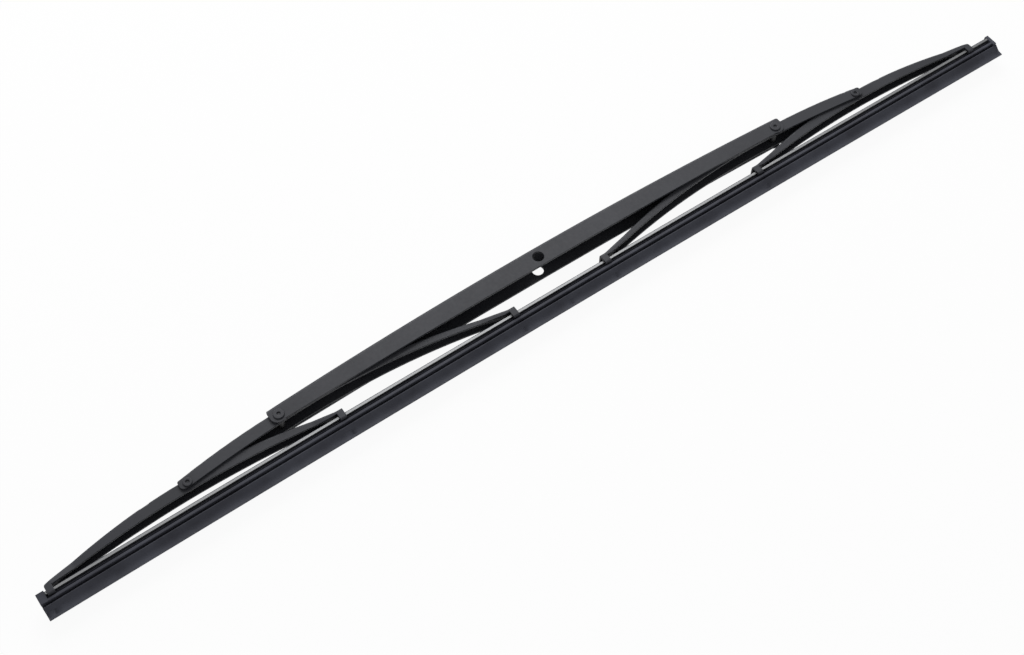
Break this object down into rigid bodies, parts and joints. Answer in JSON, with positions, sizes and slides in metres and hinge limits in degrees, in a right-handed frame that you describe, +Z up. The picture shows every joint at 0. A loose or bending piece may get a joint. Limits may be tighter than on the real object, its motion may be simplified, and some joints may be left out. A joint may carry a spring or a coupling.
{
  "type": "framed wiper blade",
  "caption": "Black framed windscreen wiper blade: a bowed bridge with nested pivoting yokes whose claws hold a rubber squeegee on spring rails, and a plain cross bore for the wiper arm's pin.",
  "frame": {"origin": "centre of the arm bore, midway between the bridge's flanks", "axes": "+X along the blade, +Y from the wiping edge to the back of the frame, +Z up along the arm bore; the blade lies on its side"},
  "size_m": [0.6103, 0.0403, 0.0155],
  "materials": {
    "painted_steel": "satin black paint on pressed steel",
    "painted_rivet": "satin black paint on a clinched rivet",
    "nylon": "plain moulded nylon",
    "stainless": "rolled stainless spring strip",
    "rubber": "graphite-coated wiper rubber"
  },
  "bodies": {
    "bridge": {"primary_bridge": "painted_steel", "primary_rivet_left": "painted_rivet", "primary_rivet_right": "painted_rivet", "squeegee": "rubber", "rail_upper": "stainless", "rail_lower": "stainless"},
    "secondary_left": {"secondary_yoke_left": "painted_steel", "primary_bush_left": "nylon", "secondary_rivet_left": "painted_rivet"},
    "secondary_right": {"secondary_yoke_right": "painted_steel", "primary_bush_right": "nylon", "secondary_rivet_right": "painted_rivet"},
    "tertiary_left": {"tertiary_yoke_left": "painted_steel", "secondary_bush_left": "nylon"},
    "tertiary_right": {"tertiary_yoke_right": "painted_steel", "secondary_bush_right": "nylon"}
  },
  "joints": [
    {"name": "first_pivot_left", "type": "hinge", "parent": "bridge", "child": "secondary_left", "pos_m": [-0.1603, -0.00389, 0], "axis": [0, 0, 1], "range_deg": [-3, 3], "stiffness_Nm_per_rad": 1.5, "deforming": ["squeegee", "rail_upper", "rail_lower"]},
    {"name": "second_pivot_left", "type": "hinge", "parent": "secondary_left", "child": "tertiary_left", "pos_m": [-0.2149, -0.01039, 0], "axis": [0, 0, 1], "range_deg": [-3, 3], "stiffness_Nm_per_rad": 1.5, "deforming": ["squeegee", "rail_upper", "rail_lower"]},
    {"name": "first_pivot_right", "type": "hinge", "parent": "bridge", "child": "secondary_right", "pos_m": [0.1603, -0.00389, 0], "axis": [0, 0, 1], "range_deg": [-3, 3], "stiffness_Nm_per_rad": 1.5, "deforming": ["squeegee", "rail_upper", "rail_lower"]},
    {"name": "second_pivot_right", "type": "hinge", "parent": "secondary_right", "child": "tertiary_right", "pos_m": [0.2149, -0.01039, 0], "axis": [0, 0, 1], "range_deg": [-3, 3], "stiffness_Nm_per_rad": 1.5, "deforming": ["squeegee", "rail_upper", "rail_lower"]}
  ]
}
